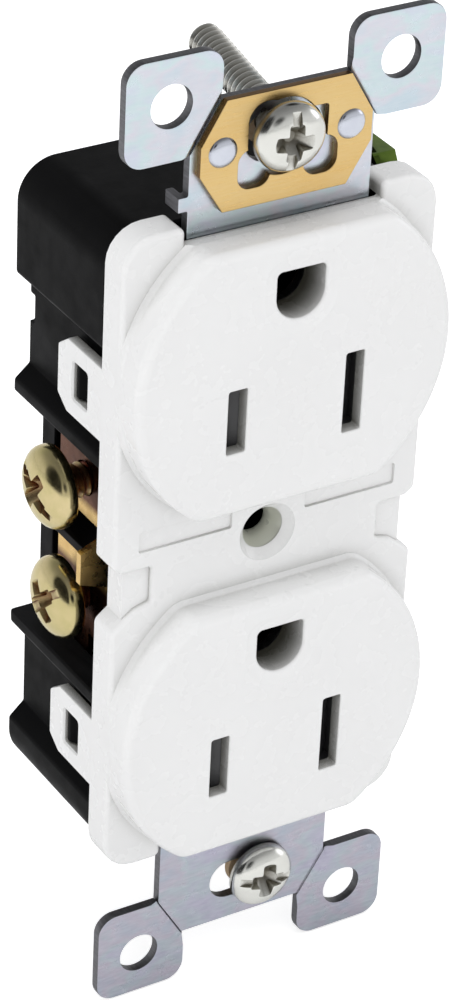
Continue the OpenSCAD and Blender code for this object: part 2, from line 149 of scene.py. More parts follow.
class Finish:
    """Builds one Principled material from procedural nodes, measured in the row frame's metres."""

    def __init__(self, name):
        self.mat = bpy.data.materials.new(name)
        self.mat.use_nodes = True
        self.tree = self.mat.node_tree
        self.tree.nodes.clear()
        output = self.tree.nodes.new("ShaderNodeOutputMaterial")
        self.bsdf = self.tree.nodes.new("ShaderNodeBsdfPrincipled")
        self.link(self.bsdf.outputs["BSDF"], output.inputs["Surface"])
        self.place = self.tree.nodes.new("ShaderNodeTexCoord").outputs["Object"]
        self.geometry = self.tree.nodes.new("ShaderNodeNewGeometry")

    def link(self, a, b):
        self.tree.links.new(a, b)

    def put(self, socket, value):
        if isinstance(value, bpy.types.NodeSocket):
            self.link(value, socket)
        elif isinstance(value, (tuple, list)) and len(value) == 3 and len(socket.default_value) == 4:
            socket.default_value = (*value, 1)
        else:
            socket.default_value = value

    def set(self, **values):
        for name, value in values.items():
            self.put(self.bsdf.inputs[name.replace("_", " ")], value)
        return self

    def noise(self, size_mm, detail=3.0, rough=0.5, stretch=(1, 1, 1), shift=0.0):
        """Noise from 0 to 1 with features about size_mm across, stretched per axis."""
        mapping = self.tree.nodes.new("ShaderNodeMapping")
        mapping.inputs["Scale"].default_value = [1 / s for s in stretch]
        mapping.inputs["Location"].default_value = (shift, shift * 0.7, shift * 1.3)
        self.link(self.place, mapping.inputs["Vector"])
        node = self.tree.nodes.new("ShaderNodeTexNoise")
        self.link(mapping.outputs["Vector"], node.inputs["Vector"])
        node.inputs["Scale"].default_value = 1 / (size_mm * MM)
        node.inputs["Detail"].default_value = detail
        node.inputs["Roughness"].default_value = rough
        return node.outputs["Fac"]

    def axis(self, name, source=None):
        """One component of the place, or of another vector."""
        node = self.tree.nodes.new("ShaderNodeSeparateXYZ")
        self.link(source or self.place, node.inputs[0])
        return node.outputs[name]

    def math(self, operation, a, b=0.0, clamp=False):
        node = self.tree.nodes.new("ShaderNodeMath")
        node.operation = operation
        node.use_clamp = clamp
        self.put(node.inputs[0], a)
        self.put(node.inputs[1], b)
        return node.outputs[0]

    def range(self, value, low, high, to_low=0.0, to_high=1.0):
        node = self.tree.nodes.new("ShaderNodeMapRange")
        self.put(node.inputs["Value"], value)
        node.inputs["From Min"].default_value = low
        node.inputs["From Max"].default_value = high
        node.inputs["To Min"].default_value = to_low
        node.inputs["To Max"].default_value = to_high
        return node.outputs["Result"]

    def ramp(self, value, stops):
        node = self.tree.nodes.new("ShaderNodeValToRGB")
        self.put(node.inputs["Fac"], value)
        elements = node.color_ramp.elements
        while len(elements) < len(stops):
            elements.new(0.5)
        for element, (at, colour) in zip(elements, stops):
            element.position = at
            element.color = (*colour, 1)
        return node.outputs["Color"]

    def mix(self, amount, a, b, how="MIX"):
        node = self.tree.nodes.new("ShaderNodeMix")
        node.data_type = "RGBA"
        node.blend_type = how
        self.put(node.inputs[0], amount)
        self.put(node.inputs[6], a)
        self.put(node.inputs[7], b)
        return node.outputs[2]

    def between(self, amount, a, b):
        """Number from a to b."""
        node = self.tree.nodes.new("ShaderNodeMix")
        self.put(node.inputs[0], amount)
        self.put(node.inputs[2], a)
        self.put(node.inputs[3], b)
        return node.outputs[0]

    def bump(self, height, depth_mm, strength=1.0):
        node = self.tree.nodes.new("ShaderNodeBump")
        node.inputs["Strength"].default_value = strength
        node.inputs["Distance"].default_value = depth_mm * MM
        self.link(height, node.inputs["Height"])
        if self.bsdf.inputs["Normal"].is_linked:
            self.link(self.bsdf.inputs["Normal"].links[0].from_socket, node.inputs["Normal"])
        self.link(node.outputs["Normal"], self.bsdf.inputs["Normal"])
        return self

    def crease(self, reach_mm):
        """0 in narrow creases, 1 in the open."""
        node = self.tree.nodes.new("ShaderNodeAmbientOcclusion")
        node.samples = 4
        node.inputs["Distance"].default_value = reach_mm * MM
        return node.outputs["AO"]


def white_plastic():
    f = Finish("white_plastic")
    cloud = f.noise(14, 2)
    base = f.mix(cloud, (0.84, 0.84, 0.835), (0.885, 0.885, 0.88))
    # Painted shade: the white is darkened in narrow creases, and darker still in deep nooks such as the top
    # walls beside the strap and clip.
    base = f.mix(f.range(f.crease(1.6), 0.25, 0.9, 0.35, 0), base, (0.5, 0.49, 0.46))
    base = f.mix(f.range(f.crease(7.0), 0.15, 0.58, 0.95, 0), base, (0.1, 0.095, 0.07))
    # Painted shade: inside each ground hole the wall is painted darker the deeper it lies behind the face.
    depth = f.range(f.axis("Y"), FACE_FRONT * MM + 0.0005, FACE_FRONT * MM + 0.0034)
    for z in SOCKET_Z:
        away = f.math("POWER", f.math("SUBTRACT", f.axis("Z"), (z + GROUND_RISE) * MM), 2)
        away = f.math("SQRT", f.math("ADD", away, f.math("POWER", f.axis("X"), 2)))
        inside = f.math("MULTIPLY", f.range(away, 0.0034, 0.0031), depth)
        base = f.mix(f.math("MULTIPLY", inside, 0.9), base, (0.075, 0.07, 0.05))
    f.set(Base_Color=base, Roughness=f.range(f.noise(3, 3, shift=0.02), 0.3, 0.7, 0.24, 0.3), IOR=1.49)
    f.set(Coat_Weight=0.25, Coat_Roughness=0.12)
    f.bump(f.noise(9, 1), 0.012, 0.2)
    return f.bump(f.noise(0.3, 2, 0.5), 0.0008, 0.3).mat


def black_plastic():
    f = Finish("black_plastic")
    # Lighter along sharp convex edges.
    sharp_edge = f.range(f.geometry.outputs["Pointiness"], 0.52, 0.62)
    base = f.mix(f.noise(6, 3), (0.0018, 0.0018, 0.002), (0.004, 0.004, 0.0043))
    base = f.mix(f.math("MULTIPLY", sharp_edge, 0.3), base, (0.035, 0.035, 0.037))
    f.set(Base_Color=base, Roughness=f.range(f.noise(2.2, 4), 0.3, 0.7, 0.34, 0.5))
    f.set(IOR=1.5, Specular_IOR_Level=0.04)
    return f.bump(f.noise(0.22, 3, 0.7), 0.012, 0.7).mat


def zinc_steel():
    f = Finish("zinc_steel")
    # Painted shade and light: the strap is painted darker towards the bottom and lighter towards the top, in
    # place of the darker reflections low down.
    height = f.range(f.axis("Z"), -0.052, 0.052)
    body = f.ramp(height, [(0.0, (0.46, 0.46, 0.53)), (0.5, (0.6, 0.63, 0.68)), (1.0, (0.76, 0.82, 0.87))])
    tint = f.ramp(f.noise(4.5, 3, 0.55, (1.6, 1, 1)), [(0.34, (0.86, 0.94, 0.97)), (0.46, (1.0, 0.93, 0.96)),
        (0.54, (0.9, 1.0, 0.97)), (0.66, (0.95, 0.91, 1.0))])
    base = f.mix(1.0, body, tint, "MULTIPLY")
    grain = f.noise(0.35, 4, 0.65, (5, 1, 1))
    base = f.mix(f.range(grain, 0.35, 0.75, 0, 0.22), base, (0.9, 0.92, 0.95))
    cut = f.math("ABSOLUTE", f.axis("Y", f.geometry.outputs["Normal"]))
    away = f.tree.nodes.new("ShaderNodeVectorMath")
    away.operation = "LENGTH"
    f.link(f.place, away.inputs[0])
    # Painted light: within about 3 mm of the centre hole the strap is painted a paler, less metallic olive
    # without the edge darkening, standing in for the light seen inside the hole.
    hole = f.range(away.outputs["Value"], 0.0028, 0.0031)
    cut = f.math("MULTIPLY", f.range(cut, 0.75, 0.4, 0, 1), hole)
    base = f.mix(hole, (0.6, 0.61, 0.53), base)
    streak = f.noise(0.25, 3, 0.6, (1, 9, 1))
    base = f.mix(cut, base, f.mix(streak, (0.1, 0.1, 0.105), (0.3, 0.3, 0.32)))
    rough = f.between(cut, f.range(f.noise(1.6, 4, 0.6), 0.3, 0.7, 0.24, 0.4), 0.5)
    f.set(Base_Color=base, Metallic=f.between(hole, 0.25, 1.0), Roughness=rough)
    f.bump(grain, 0.004, 0.6)
    return f.bump(f.noise(3.2, 2), 0.02, 0.35).mat


def strip_brass():
    f = Finish("strip_brass")
    brushed = f.noise(0.16, 4, 0.6, (14, 1, 1))
    base = f.mix(f.noise(5, 3, 0.5, (2, 1, 1)), (0.74, 0.47, 0.16), (0.86, 0.63, 0.28))
    base = f.mix(f.range(brushed, 0.35, 0.7, 0, 0.3), base, (0.93, 0.74, 0.42))
    cut = f.range(f.math("ABSOLUTE", f.axis("Y", f.geometry.outputs["Normal"])), 0.75, 0.4, 0, 1)
    base = f.mix(cut, base, (0.2, 0.11, 0.035))
    f.set(Base_Color=base, Metallic=1.0, Roughness=f.range(brushed, 0.3, 0.7, 0.24, 0.42), Anisotropic=0.45)
    f.bump(brushed, 0.004, 0.7)
    return f.bump(f.noise(2.6, 2), 0.02, 0.3).mat


def contact_brass():
    f = Finish("contact_brass")
    # Painted shade: the brass is painted a dark red-brown, standing in for the dark reflections on it; only
    # the link below keeps the brass colour.
    base = f.mix(f.noise(3, 4, 0.6), (0.06, 0.016, 0.009), (0.18, 0.07, 0.03))
    base = f.mix(f.range(f.noise(1.2, 4), 0.55, 0.8, 0, 0.6), base, (0.05, 0.014, 0.008))
    # Painted shade: within 6 mm of the middle, where the contacts lie deep behind the holes, they are painted
    # nearly black.
    base = f.mix(f.range(f.math("ABSOLUTE", f.axis("X")), 0.006, 0.007), (0.05, 0.035, 0.02), base)
    height = f.axis("Z")
    link = f.math("MULTIPLY", f.range(height, -0.0075, -0.0065), f.range(height, 0.0012, 0.0002))
    base = f.mix(link, base, f.mix(f.noise(2, 3), (0.75, 0.48, 0.16), (0.88, 0.64, 0.28)))
    f.set(Base_Color=base, Metallic=1.0, Roughness=f.range(f.noise(1.1, 4), 0.3, 0.7, 0.2, 0.4))
    return f.bump(f.noise(0.3, 3, 0.6, (1, 6, 1)), 0.005, 0.6).mat


def plated(name, low, high, recess_shade_colour, rough=(0.12, 0.26)):
    """Glossy plated screw: colour wanders between two tones, with painted shade darkening its recess."""
    f = Finish(name)
    base = f.mix(f.noise(2.4, 3, 0.55), low, high)
    # Painted shade: the recess is darkened, and made rougher, where the head closes in around it.
    recess_shade = f.range(f.crease(2.0), 0.6, 0.94, 1.0, 0)
    base = f.mix(recess_shade, base, recess_shade_colour)
    polish = f.range(f.noise(0.9, 4, 0.6), 0.3, 0.7, *rough)
    f.set(Base_Color=base, Metallic=1.0, Roughness=f.between(recess_shade, polish, 0.42))
    return f.bump(f.noise(0.5, 3, 0.6), 0.006, 0.5).mat


def fibre():
    f = Finish("fibre")
    fibres = f.noise(0.4, 5, 0.7, (4, 1, 1))
    f.set(Base_Color=f.mix(fibres, (0.3, 0.2, 0.11), (0.56, 0.42, 0.27)), Roughness=0.75)
    return f.bump(fibres, 0.03, 0.8).mat


def grey_plastic():
    f = Finish("grey_plastic")
    f.set(Base_Color=f.mix(f.noise(4, 3), (0.05, 0.05, 0.053), (0.09, 0.09, 0.093)))
    f.set(Roughness=f.range(f.noise(1.5, 3), 0.3, 0.7, 0.3, 0.45))
    return f.bump(f.noise(0.3, 3), 0.008, 0.6).mat


FINISHES = {
    "white_plastic": white_plastic(),
    "black_plastic": black_plastic(),
    "zinc_steel": zinc_steel(),
    "strip_brass": strip_brass(),
    "contact_brass": contact_brass(),
    "rivet_steel": plated("rivet_steel", (0.62, 0.65, 0.74), (0.8, 0.83, 0.9), (0.2, 0.2, 0.24)),
    "screw_brass": plated("screw_brass", (0.5, 0.46, 0.17), (0.86, 0.7, 0.42), (0.13, 0.018, 0.007)),
    "screw_nickel": plated("screw_nickel", (0.74, 0.74, 0.69), (0.94, 0.94, 0.89), (0.17, 0.15, 0.11)),
    "screw_green": plated("screw_green", (0.02, 0.07, 0.012), (0.3, 0.42, 0.08), (0.004, 0.01, 0.003)),
    "fibre": fibre(),
    "grey_plastic": grey_plastic(),
    "spring_steel": plated("spring_steel", (0.4, 0.4, 0.42), (0.6, 0.6, 0.62), (0.1, 0.1, 0.1)),
}
SLOTS = {part["node"]: part["material_slot"] for part in frame["record"]["subparts"]}


# ------------------------------------------------------- building meshes


def finish_piece(obj, node, *more):
    """Gives a new piece its material, its body and the CAD nodes it stands for."""
    obj.data.materials.clear()
    obj.data.materials.append(FINISHES[SLOTS[node]])
    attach(obj, NODES[node]["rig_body"])
    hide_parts(node, *more)
    return obj


def add_object(name, mesh):
    obj = bpy.data.objects.new(name, mesh)
    bpy.context.scene.collection.objects.link(obj)
    return obj


def mesh_from(name, verts, faces):
    mesh = bpy.data.meshes.new(name)
    mesh.from_pydata([Vector(v) for v in verts], [], faces)
    mesh.validate()
    for polygon in mesh.polygons:
        polygon.use_smooth = True
    return mesh


def apply_modifiers(obj):
    evaluated = obj.evaluated_get(bpy.context.evaluated_depsgraph_get())
    mesh = bpy.data.meshes.new_from_object(evaluated)
    obj.modifiers.clear()
    obj.data = mesh
    return obj


def clean_copy(node):
    """A bmesh of a CAD node with shared corners, whose flat faces are single faces."""
    bm = bmesh.new()
    bm.from_mesh(NODES[node].data)
    bmesh.ops.remove_doubles(bm, verts=bm.verts, dist=2e-6)
    bmesh.ops.dissolve_limit(bm, angle_limit=math.radians(0.4), verts=bm.verts, edges=bm.edges)
    bmesh.ops.recalc_face_normals(bm, faces=bm.faces)
    return bm


def edge_angle(edge):
    if len(edge.link_faces) != 2:
        return 0.0
    return math.degrees(edge.calc_face_angle_signed(0.0))


def rounded(name, bm, rule, segments=3, sharp=28):
    """An object whose sharp edges are rounded by rule(middle in mm, convex), in mm."""
    layer = bm.edges.layers.float.get("bevel_weight_edge") or bm.edges.layers.float.new("bevel_weight_edge")
    widths = []
    for edge in bm.edges:
        angle = edge_angle(edge)
        if abs(angle) > sharp:
            middle = (edge.verts[0].co + edge.verts[1].co) / 2 / MM
            width = rule(middle, angle > 0)
            if width:
                widths.append((edge, width))
            edge.smooth = bool(width)
        else:
            edge.smooth = True
    widest = max(width for _, width in widths)
    for edge, width in widths:
        edge[layer] = width / widest
    for face in bm.faces:
        face.smooth = True
    mesh = bpy.data.meshes.new(name)
    bm.to_mesh(mesh)
    bm.free()
    obj = add_object(name, mesh)
    bevel = obj.modifiers.new("round", "BEVEL")
    bevel.limit_method = "WEIGHT"
    bevel.width = widest * MM
    bevel.segments = segments
    bevel.use_clamp_overlap = False
    bevel.miter_outer = "MITER_ARC"
    normals = obj.modifiers.new("normals", "WEIGHTED_NORMAL")
    normals.keep_sharp = True
    normals.weight = 60
    return obj


def smooth_cad(node, width=0.0):
    """Keeps a CAD node, with its own material and softly rounded edges."""
    obj = NODES[node]
    obj.data.materials.clear()
    obj.data.materials.append(FINISHES[SLOTS[node]])
    weld = obj.modifiers.new("weld", "WELD")
    weld.merge_threshold = 2e-6
    if width:
        bevel = obj.modifiers.new("round", "BEVEL")
        bevel.limit_method = "ANGLE"
        bevel.angle_limit = math.radians(40)
        bevel.width = width * MM
        bevel.segments = 2
    for polygon in obj.data.polygons:
        polygon.use_smooth = False
    return obj


# --------------------------------------------------- outlines and solids


def arc(cx, cy, r, start, stop, steps):
    """Points on an arc, in mm, from start to stop in degrees."""
    angles = [math.radians(start + (stop - start) * i / steps) for i in range(steps + 1)]
    return [(cx + r * math.cos(a), cy + r * math.sin(a)) for a in angles]


def circle(r, steps):
    return arc(0, 0, r, 0, 360 * (steps - 1) / steps, steps - 1)


def rounded_outline(corners, steps=6):
    """Counter-clockwise outline through corners (x, z, radius), each rounded to its radius."""
    points = []
    for i, (x, z, r) in enumerate(corners):
        here = Vector((x, z))
        back = (Vector(corners[i - 1][:2]) - here).normalized()
        on = (Vector(corners[(i + 1) % len(corners)][:2]) - here).normalized()
        half = math.acos(max(-1, min(1, back.dot(on)))) / 2
        if r < 1e-6 or abs(half - math.pi / 2) < 1e-3:
            points.append((x, z))
            continue
        reach = r / math.tan(half)
        centre = here + (back + on).normalized() * (r / math.sin(half))
        first, last = here + back * reach - centre, here + on * reach - centre
        turn = math.atan2(first.x * last.y - first.y * last.x, first.dot(last))
        for k in range(steps + 1):
            a = turn * k / steps
            c, d = math.cos(a), math.sin(a)
            points.append((centre.x + first.x * c - first.y * d, centre.y + first.x * d + first.y * c))
    return points


def rectangle(x0, z0, x1, z1, r=0.0, steps=3):
    return rounded_outline([(x1, z0, r), (x1, z1, r), (x0, z1, r), (x0, z0, r)], steps)


def offset(points, amount):
    """The outline moved inwards by amount, in mm."""
    moved = []
    for i, here in enumerate(points):
        here = Vector(here)
        back = (here - Vector(points[i - 1])).normalized()
        on = (Vector(points[(i + 1) % len(points)]) - here).normalized()
        first, last = Vector((-back.y, back.x)), Vector((-on.y, on.x))
        middle = (first + last).normalized()
        moved.append(tuple(here + middle * (amount / max(0.35, middle.dot(first)))))
    return moved


# Where a solid's (across, up, depth) goes in (x, y, z)
FRONT = Matrix(((1, 0, 0, 0), (0, 0, 1, 0), (0, 1, 0, 0), (0, 0, 0, 1)))
SIDE = Matrix(((0, 0, 1, 0), (1, 0, 0, 0), (0, 1, 0, 0), (0, 0, 0, 1)))
UPRIGHT = Matrix.Identity(4)


def solid(outline, profile, place=FRONT, shift=(0, 0)):
    """Closed solid: the outline at each (depth, inset) of profile, in mm, joined up and capped."""
    bm = bmesh.new()
    rings = []
    for depth, inset in profile:
        ring = [bm.verts.new(place @ Vector((u + shift[0], v + shift[1], depth)))
            for u, v in (offset(outline, inset) if inset else outline)]
        rings.append(ring)
    count = len(outline)
    for low, high in zip(rings, rings[1:]):
        for i in range(count):
            bm.faces.new((low[i], low[(i + 1) % count], high[(i + 1) % count], high[i]))
    bm.faces.new(list(reversed(rings[0])))
    bm.faces.new(rings[-1])
    bmesh.ops.recalc_face_normals(bm, faces=bm.faces)
    mesh = bpy.data.meshes.new("solid")
    bm.to_mesh(mesh)
    bm.free()
    return add_object("solid", mesh)


def round_front(front, back, radius, steps=6):
    """Profile of a solid whose front edge is rounded."""
    rise = [(front + radius * (1 - math.cos(a)), radius * (1 - math.sin(a)))
        for a in (math.pi / 2 * i / steps for i in range(steps + 1))]
    return rise + [(back, 0)]


def flared_cut(front, back, radius, steps=6):
    """Profile of a cutter whose mouth at front leaves a rounded edge."""
    rise = [(front + radius * (1 - math.cos(a)), -radius * (1 - math.sin(a)))
        for a in (math.pi / 2 * i / steps for i in range(steps + 1))]
    return [(front - 0.6, -radius)] + rise + [(back, 0)]


def combine(base, *steps):
    """Applies (operation, solids) in turn to base. The solids of one step must not touch each other."""
    for operation, solids in steps:
        bm = bmesh.new()
        for other in solids:
            bm.from_mesh(other.data)
            bpy.data.objects.remove(other)
        mesh = bpy.data.meshes.new("tools")
        bm.to_mesh(mesh)
        bm.free()
        tools = add_object("tools", mesh)
        modifier = base.modifiers.new(operation, "BOOLEAN")
        modifier.operation = operation
        modifier.solver = "EXACT"
        modifier.object = tools
        bpy.context.view_layer.update()
        apply_modifiers(base)
        bpy.data.objects.remove(tools)
    return base


def shade(obj, sharp=32):
    """Brings a solid built in mm to metres, shaded smooth except at edges steeper than sharp degrees."""
    bm = bmesh.new()
    bm.from_mesh(obj.data)
    bmesh.ops.remove_doubles(bm, verts=bm.verts, dist=1e-4)
    bmesh.ops.scale(bm, vec=(MM, MM, MM), verts=bm.verts)
    for face in bm.faces:
        face.smooth = True
    for edge in bm.edges:
        edge.smooth = abs(edge_angle(edge)) < sharp
    bm.to_mesh(obj.data)
    bm.free()
    normals = obj.modifiers.new("normals", "WEIGHTED_NORMAL")
    normals.keep_sharp = True
    normals.weight = 60
    return obj


# ---------------------------------------------------------------- cover


def face_outline(shrink=0.0, corner=2.2):
    """Socket face: a circle cut by two flats, with softened corners."""
    r, h = FACE_R - shrink, FACE_HALF_H - shrink
    q = max(0.3, corner - shrink)
    cx = math.sqrt((r - q) ** 2 - (h - q) ** 2)
    turn = math.degrees(math.atan2(h - q, cx))
    quarter = arc(0, 0, r, 0, turn, 26) + arc(cx, h - q, q, turn, 90, 8)[1:]
    top = quarter + [(-x, z) for x, z in reversed(quarter)]
    return top + [(-x, -z) for x, z in top[1:-1]]


def ground_outline(grow=0.0):
    """Ground hole: round below, flat above with two small corners."""
    half, top = GROUND_W / 2 + grow, 2.54 + grow
    q = 0.5
    corners = arc(half - q, top - q, q, 0, 90, 5) + arc(q - half, top - q, q, 90, 180, 5)
    return arc(0, 0, half, 180, 360, 28) + corners


def slot_outline(height):
    return rectangle(-SLOT_W / 2, -height / 2, SLOT_W / 2, height / 2, 0.22)


def tab_solids(side, z):
    """One latch tab and the cutter of its window."""
    h, back, q = TAB_HALF_H, TAB_BACK, 0.5
    corners = [(1.7, z - h, 0), (back - 1.8, z - h, q), (back, z - h + 1.3, q), (back, z + h - 1.3, q),
        (back - 1.8, z + h, q), (1.7, z + h, 0)]
    outer, inner, edge = side * TAB_OUT, side * TAB_IN, side * 0.22
    slope = [(inner, 0), (outer - edge, 0), (outer - edge * 0.3, 0.07), (outer, 0.25)]
    tab = solid(rounded_outline(corners, 4), slope, SIDE)
    window = rectangle(WINDOW_Y[0], z - WINDOW_HALF_H, WINDOW_Y[1], z + WINDOW_HALF_H, 0.3)
    cut = solid(window, [(inner - side, 0), (outer - edge, 0), (outer, -0.15), (outer + side, -0.15)], SIDE)
    return tab, cut


def rim_outline():
    """The cover's rim with a notch in each side, and a gap at each end where the strap comes out."""
    w, h, g = RIM_HALF_W, RIM_HALF_H, GAP_HALF_W
    right = [(g, -h, 0.7), (w, -h, 3.5), (w, -6.77, 0.9), (14.4, -4.8, 0.9), (12.7, -4.3, 0.4),
        (12.7, -0.4, 0.4), (15.9, -0.4, 0.8), (w, 0.37, 0.8), (w, h, 3.5), (g, h, 0.7)]
    top = [(g, GAP_Z, 0.3), (-g, GAP_Z, 0.3)]
    left = [(-x, z, r) for x, z, r in reversed(right)]
    bottom = [(-g, -GAP_Z, 0.3), (g, -GAP_Z, 0.3)]
    return rounded_outline(right + top + left + bottom, 6)


def socket_solids(z):
    """One socket's face block, the space inside it, its ground hole's tube, and its holes' cutters."""
    foot = [(-1.6, 0), (-1.45, -0.05), (-1.28, -0.16), (-1.14, -0.36), (-0.6, -0.36)]
    dish = [(FACE_FRONT + t, -grow) for t, grow in ((-0.6, 1.5), (0, 1.5), (0.05, 1.3), (0.1, 0.9),
        (0.16, 0.3), (0.22, 0.14), (0.33, 0.04), (0.45, 0), (5.75, 0))]
    ground_at = (0, z + GROUND_RISE)
    face = solid(face_outline(), round_front(FACE_FRONT, -1.75, 0.95, 9) + foot, shift=(0, z))
    inside = solid(face_outline(1.7), [(FACE_FRONT + 1.5, 0), (2.9, 0)], shift=(0, z))
    tube = solid(ground_outline(0.8), [(FACE_FRONT + 1.2, 0), (-0.75, 0)], shift=ground_at)
    cuts = [solid(ground_outline(), dish, shift=ground_at)]
    for x, height in ((-BLADE_X, HOT_SLOT_H), (BLADE_X, NEUTRAL_SLOT_H)):
        mouth = flared_cut(FACE_FRONT, 1, 0.2, 4)
        cuts.append(solid(slot_outline(height), mouth, shift=(x, z - BLADE_DROP)))
    return face, inside, tube, cuts


def trim_solids():
    """Cutters that clear the strap's gaps, and whatever of the faces passes the rim's sides."""
    end, side = GAP_Z + 0.15, RIM_HALF_W + 0.07
    ends = [solid(rectangle(-GAP_HALF_W, a, GAP_HALF_W, b), [(-1.62, 0), (4, 0)])
        for a, b in ((end, 40), (-40, -end))]
    sides = [solid(rectangle(a, -36, b, 36), [(-1.62, 0), (-0.4, 0)])
        for a, b in ((side, 19), (-19, -side))]
    return ends + sides


def centre_solids():
    """Cutters of the centre hole and of the two shallow blank label panels beside it."""
    funnel = [(-3, -0.9), (RIM_FRONT, -0.9), (RIM_FRONT + 0.15, -0.82), (RIM_FRONT + 0.8, -0.12),
        (RIM_FRONT + 0.95, 0), (1, 0)]
    hole = solid(circle(CENTRE_HOLE_R, 36), funnel)
    shallow = [(-2, -0.05), (RIM_FRONT, -0.05), (RIM_FRONT + 0.22, 0.04)]
    labels = [solid(rectangle(a, 1.6, b, 3.8, 0.2), shallow) for a, b in ((4.1, 14.2), (-14.2, -4.1))]
    return hole, labels


def build_cover():
    rim = solid(rim_outline(), round_front(RIM_FRONT, 2.2, 0.5))
    faces, insides, tubes, cuts = zip(*(socket_solids(z) for z in SOCKET_Z))
    tabs, windows = zip(*(tab_solids(side, z) for side in (-1, 1) for z in TAB_Z))
    cavity = solid(rectangle(-CAVITY[0], -CAVITY[1], CAVITY[0], CAVITY[1], 2.2, 5), [(-0.1, 0), (3.0, 0)])
    notch_blocks = [solid(rectangle(a, -6.4, b, 0.9), [(-0.5, 0), (2.13, 0)])
        for a, b in ((-15.6, -11.6), (11.6, 15.6))]
    hole, labels = centre_solids()
    combine(rim, ("DIFFERENCE", labels), ("UNION", faces + tabs), ("DIFFERENCE", trim_solids()),
        ("DIFFERENCE", [cavity]), ("DIFFERENCE", insides), ("UNION", [*tubes, *notch_blocks]),
        ("DIFFERENCE", [*cuts[0], *cuts[1], *windows, hole]))
    rim.name = "cover_shell"
    return finish_piece(shade(rim), "cover")


def body_rule(middle, convex):
    """Wide rounds on the housing's outside, narrow ones in its side reliefs, none inside."""
    outer = abs(middle.x) > 16.7 or abs(middle.z) > 33.9 or middle.y > 19.1
    if outer:
        return 0.3 if convex else 0.15
    return 0.12 if abs(middle.x) > 13.3 else 0


def build_body():
    return finish_piece(rounded("back_housing", clean_copy("back_body"), body_rule), "back_body")


def build_strap():
    """Strap with rolled sheet edges, and a funnel pressed round its centre hole."""
    strap = rounded("strap_plate", clean_copy("mounting_strap"), lambda middle, convex: 0.14, 2)
    apply_modifiers(strap)
    strap.data.transform(Matrix.Scale(1 / MM, 4))
    funnel = [(-0.6, -0.86), (0, -0.86), (0.12, -0.74), (0.5, -0.56), (1.0, -0.24), (1.5, -0.05), (1.9, 0)]
    combine(strap, ("DIFFERENCE", [solid(circle(1.45, 48), funnel)]))
    return finish_piece(shade(strap, 26), "mounting_strap")


def build_clip():
    clip = rounded("brass_clip", clean_copy("grounding_clip"), lambda middle, convex: 0.1)
    return finish_piece(clip, "grounding_clip")


# ---------------------------------------------------- screws and rivets


def thread(length, top, taper=0.9, steps=28):
    """Closed threaded shank along Z from -length to top, in mm, whose mesh follows the helix."""
    shape = (1, 1, 0.67, 0.33, 0, 0, 0.33, 0.67)
    per_turn = len(shape)
    count = math.ceil((length + top) / THREAD_PITCH + 2) * per_turn
    bm = bmesh.new()
    columns = []
    for i in range(steps):
        turn = 2 * math.pi * i / steps
        column = []
        for j in range(count + per_turn + 1):
            z = min(top, max(-length, -length - THREAD_PITCH + (j / per_turn + i / steps) * THREAD_PITCH))
            r = THREAD_ROOT_R + (THREAD_R - THREAD_ROOT_R) * shape[j % per_turn]
            tip = THREAD_ROOT_R - 0.35
            r = tip + (r - tip) * min(1, (z + length) / taper)
            r = THREAD_ROOT_R + (r - THREAD_ROOT_R) * min(1, (top - z) / 0.3)
            column.append(bm.verts.new((r * math.cos(turn), r * math.sin(turn), z)))
        columns.append(column)
    for i in range(steps):
        here, on = columns[i], columns[(i + 1) % steps]
        step = per_turn if i == steps - 1 else 0
        for j in range(count):
            bm.faces.new((here[j], on[j + step], on[j + step + 1], here[j + 1]))
    bmesh.ops.remove_doubles(bm, verts=bm.verts, dist=1e-4)
    loose = [v for v in bm.verts if not v.link_faces]
    bmesh.ops.delete(bm, geom=loose, context="VERTS")
    bmesh.ops.holes_fill(bm, edges=[e for e in bm.edges if e.is_boundary], sides=0)
    bmesh.ops.recalc_face_normals(bm, faces=bm.faces)
    mesh = bpy.data.meshes.new("thread")
    bm.to_mesh(mesh)
    bm.free()
    return add_object("thread", mesh)


def screw(name, r, h, length, slot_turn):
    """Pan head screw along Z with a crossed and slotted head, its seat at z = 0, in mm."""
    profile = [(0, 0.2), (0.08, 0.05), (0.2, 0), (h * 0.26, 0)]
    for k in range(1, 11):
        a = math.pi / 2 * 0.94 * k / 10
        profile.append((h * (0.26 + 0.74 * math.sin(a)), r * (1 - math.cos(a) ** 0.9)))
    head = solid(circle(r, 72), profile, UPRIGHT)
    w, reach, deep = 0.8, r * 0.57, h - 1.7
    arms = [(reach, -w, 0.4), (reach, w, 0.4), (w, w, 0.1), (w, reach, 0.4), (-w, reach, 0.4), (-w, w, 0.1),
        (-reach, w, 0.4), (-reach, -w, 0.4), (-w, -w, 0.1), (-w, -reach, 0.4), (w, -reach, 0.4), (w, -w, 0.1)]
    cross = solid(rounded_outline(arms, 4), [(deep + 0.05, 0.3), (h + 0.4, -0.05)], UPRIGHT)
    cone = solid(circle(reach + 0.15, 40), [(deep, reach - 0.35), (h - 0.15, 0.12), (h + 0.6, 0)], UPRIGHT)
    combine(cross, ("INTERSECT", [cone]))
    groove = solid(rectangle(-r - 1, -0.48, r + 1, 0.48), [(h - 0.72, 0.05), (h + 0.5, -0.05)], UPRIGHT)
    combine(head, ("DIFFERENCE", [groove]), ("DIFFERENCE", [cross]))
    soften(head, 0.05)
    combine(head, ("UNION", [thread(length, 0.35)]))
    head.data.transform(Matrix.Rotation(math.radians(slot_turn), 4, "Z"))
    head.name = name
    return shade(head, 38)


def soften(obj, width, segments=2):
    """Rounds every sharp edge of a solid by width, in mm."""
    bevel = obj.modifiers.new("soft", "BEVEL")
    bevel.limit_method = "ANGLE"
    bevel.angle_limit = math.radians(34)
    bevel.width = width
    bevel.segments = segments
    bevel.miter_outer = "MITER_ARC"
    bpy.context.view_layer.update()
    return apply_modifiers(obj)


